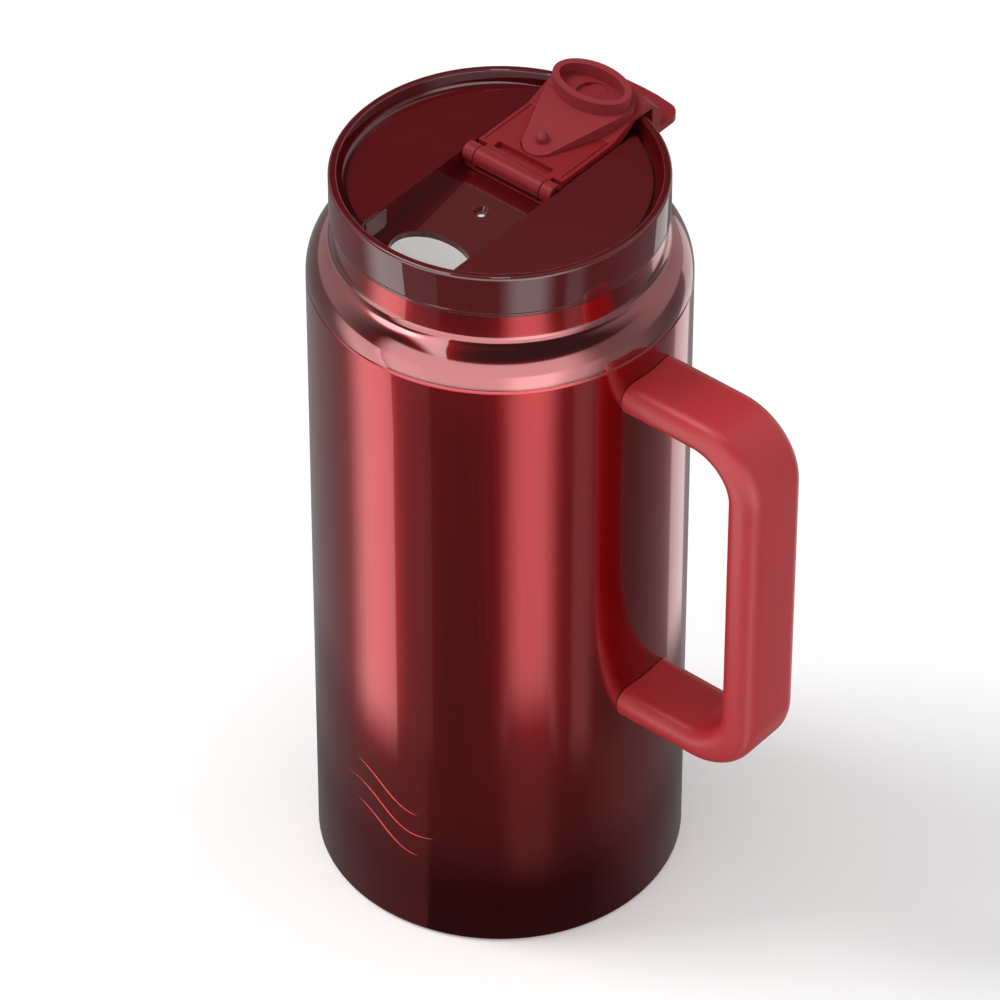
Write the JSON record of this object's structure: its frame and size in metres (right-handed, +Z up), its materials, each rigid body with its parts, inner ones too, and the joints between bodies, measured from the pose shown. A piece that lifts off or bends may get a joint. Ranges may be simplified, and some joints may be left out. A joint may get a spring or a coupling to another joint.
{
  "type": "insulated travel mug",
  "caption": "Tall round insulated travel mug with a side handle, a screw-on lid with a sip hole, and a flip cap with a plug and a finger tab.",
  "frame": {"origin": "middle of the base, on the plane the mug stands on", "axes": "+Z up along the mug's axis, +X towards the handle, +Y along the lid channel from the sip hole towards the tab of the open cap"},
  "size_m": [0.154, 0.1162, 0.2521],
  "materials": {
    "red_coated_steel": "glossy red lacquer over brushed steel",
    "brushed_steel": "brushed",
    "red_grip": "matte moulded",
    "clear_red_plastic": "glossy, slightly see-through",
    "red_plastic": "satin",
    "red_silicone": "matte silicone"
  },
  "bodies": {
    "mug": {"outer_shell": "red_coated_steel", "outer_base": "brushed_steel", "base_cover": "brushed_steel", "vacuum_seal": "brushed_steel", "getter": "brushed_steel", "inner_liner": "brushed_steel", "liner_bottom": "brushed_steel", "handle_grip": "red_grip", "handle_core": "brushed_steel", "upper_bracket": "brushed_steel", "lower_bracket": "brushed_steel", "upper_screw": "brushed_steel", "lower_screw": "brushed_steel"},
    "lid_seal": {"lid_gasket": "red_silicone"},
    "lid": {"lid_shell": "clear_red_plastic", "lid_thread_ring": "clear_red_plastic", "hinge_bracket": "red_plastic", "hinge_pin": "brushed_steel"},
    "cap": {"flip_cap": "red_plastic", "sip_seal": "red_silicone"}
  },
  "joints": [
    {"name": "lid_lift", "type": "slide", "parent": "mug", "child": "lid_seal", "axis": [0, 0, 1], "range_m": [0, 0.0136]},
    {"name": "lid_turn", "type": "hinge", "parent": "lid_seal", "child": "lid", "pos_m": [0, 0, 0.2305], "axis": [0, 0, 1], "range_deg": [0, 810]},
    {"name": "cap_hinge", "type": "hinge", "parent": "lid", "child": "cap", "pos_m": [0, 0.005, 0.2403], "axis": [1, 0, 0], "range_deg": [0, 180]}
  ],
  "couplings": [
    {"joint": "lid_lift", "follows": "lid_turn", "m_per_rad": 0.00095493}
  ]
}
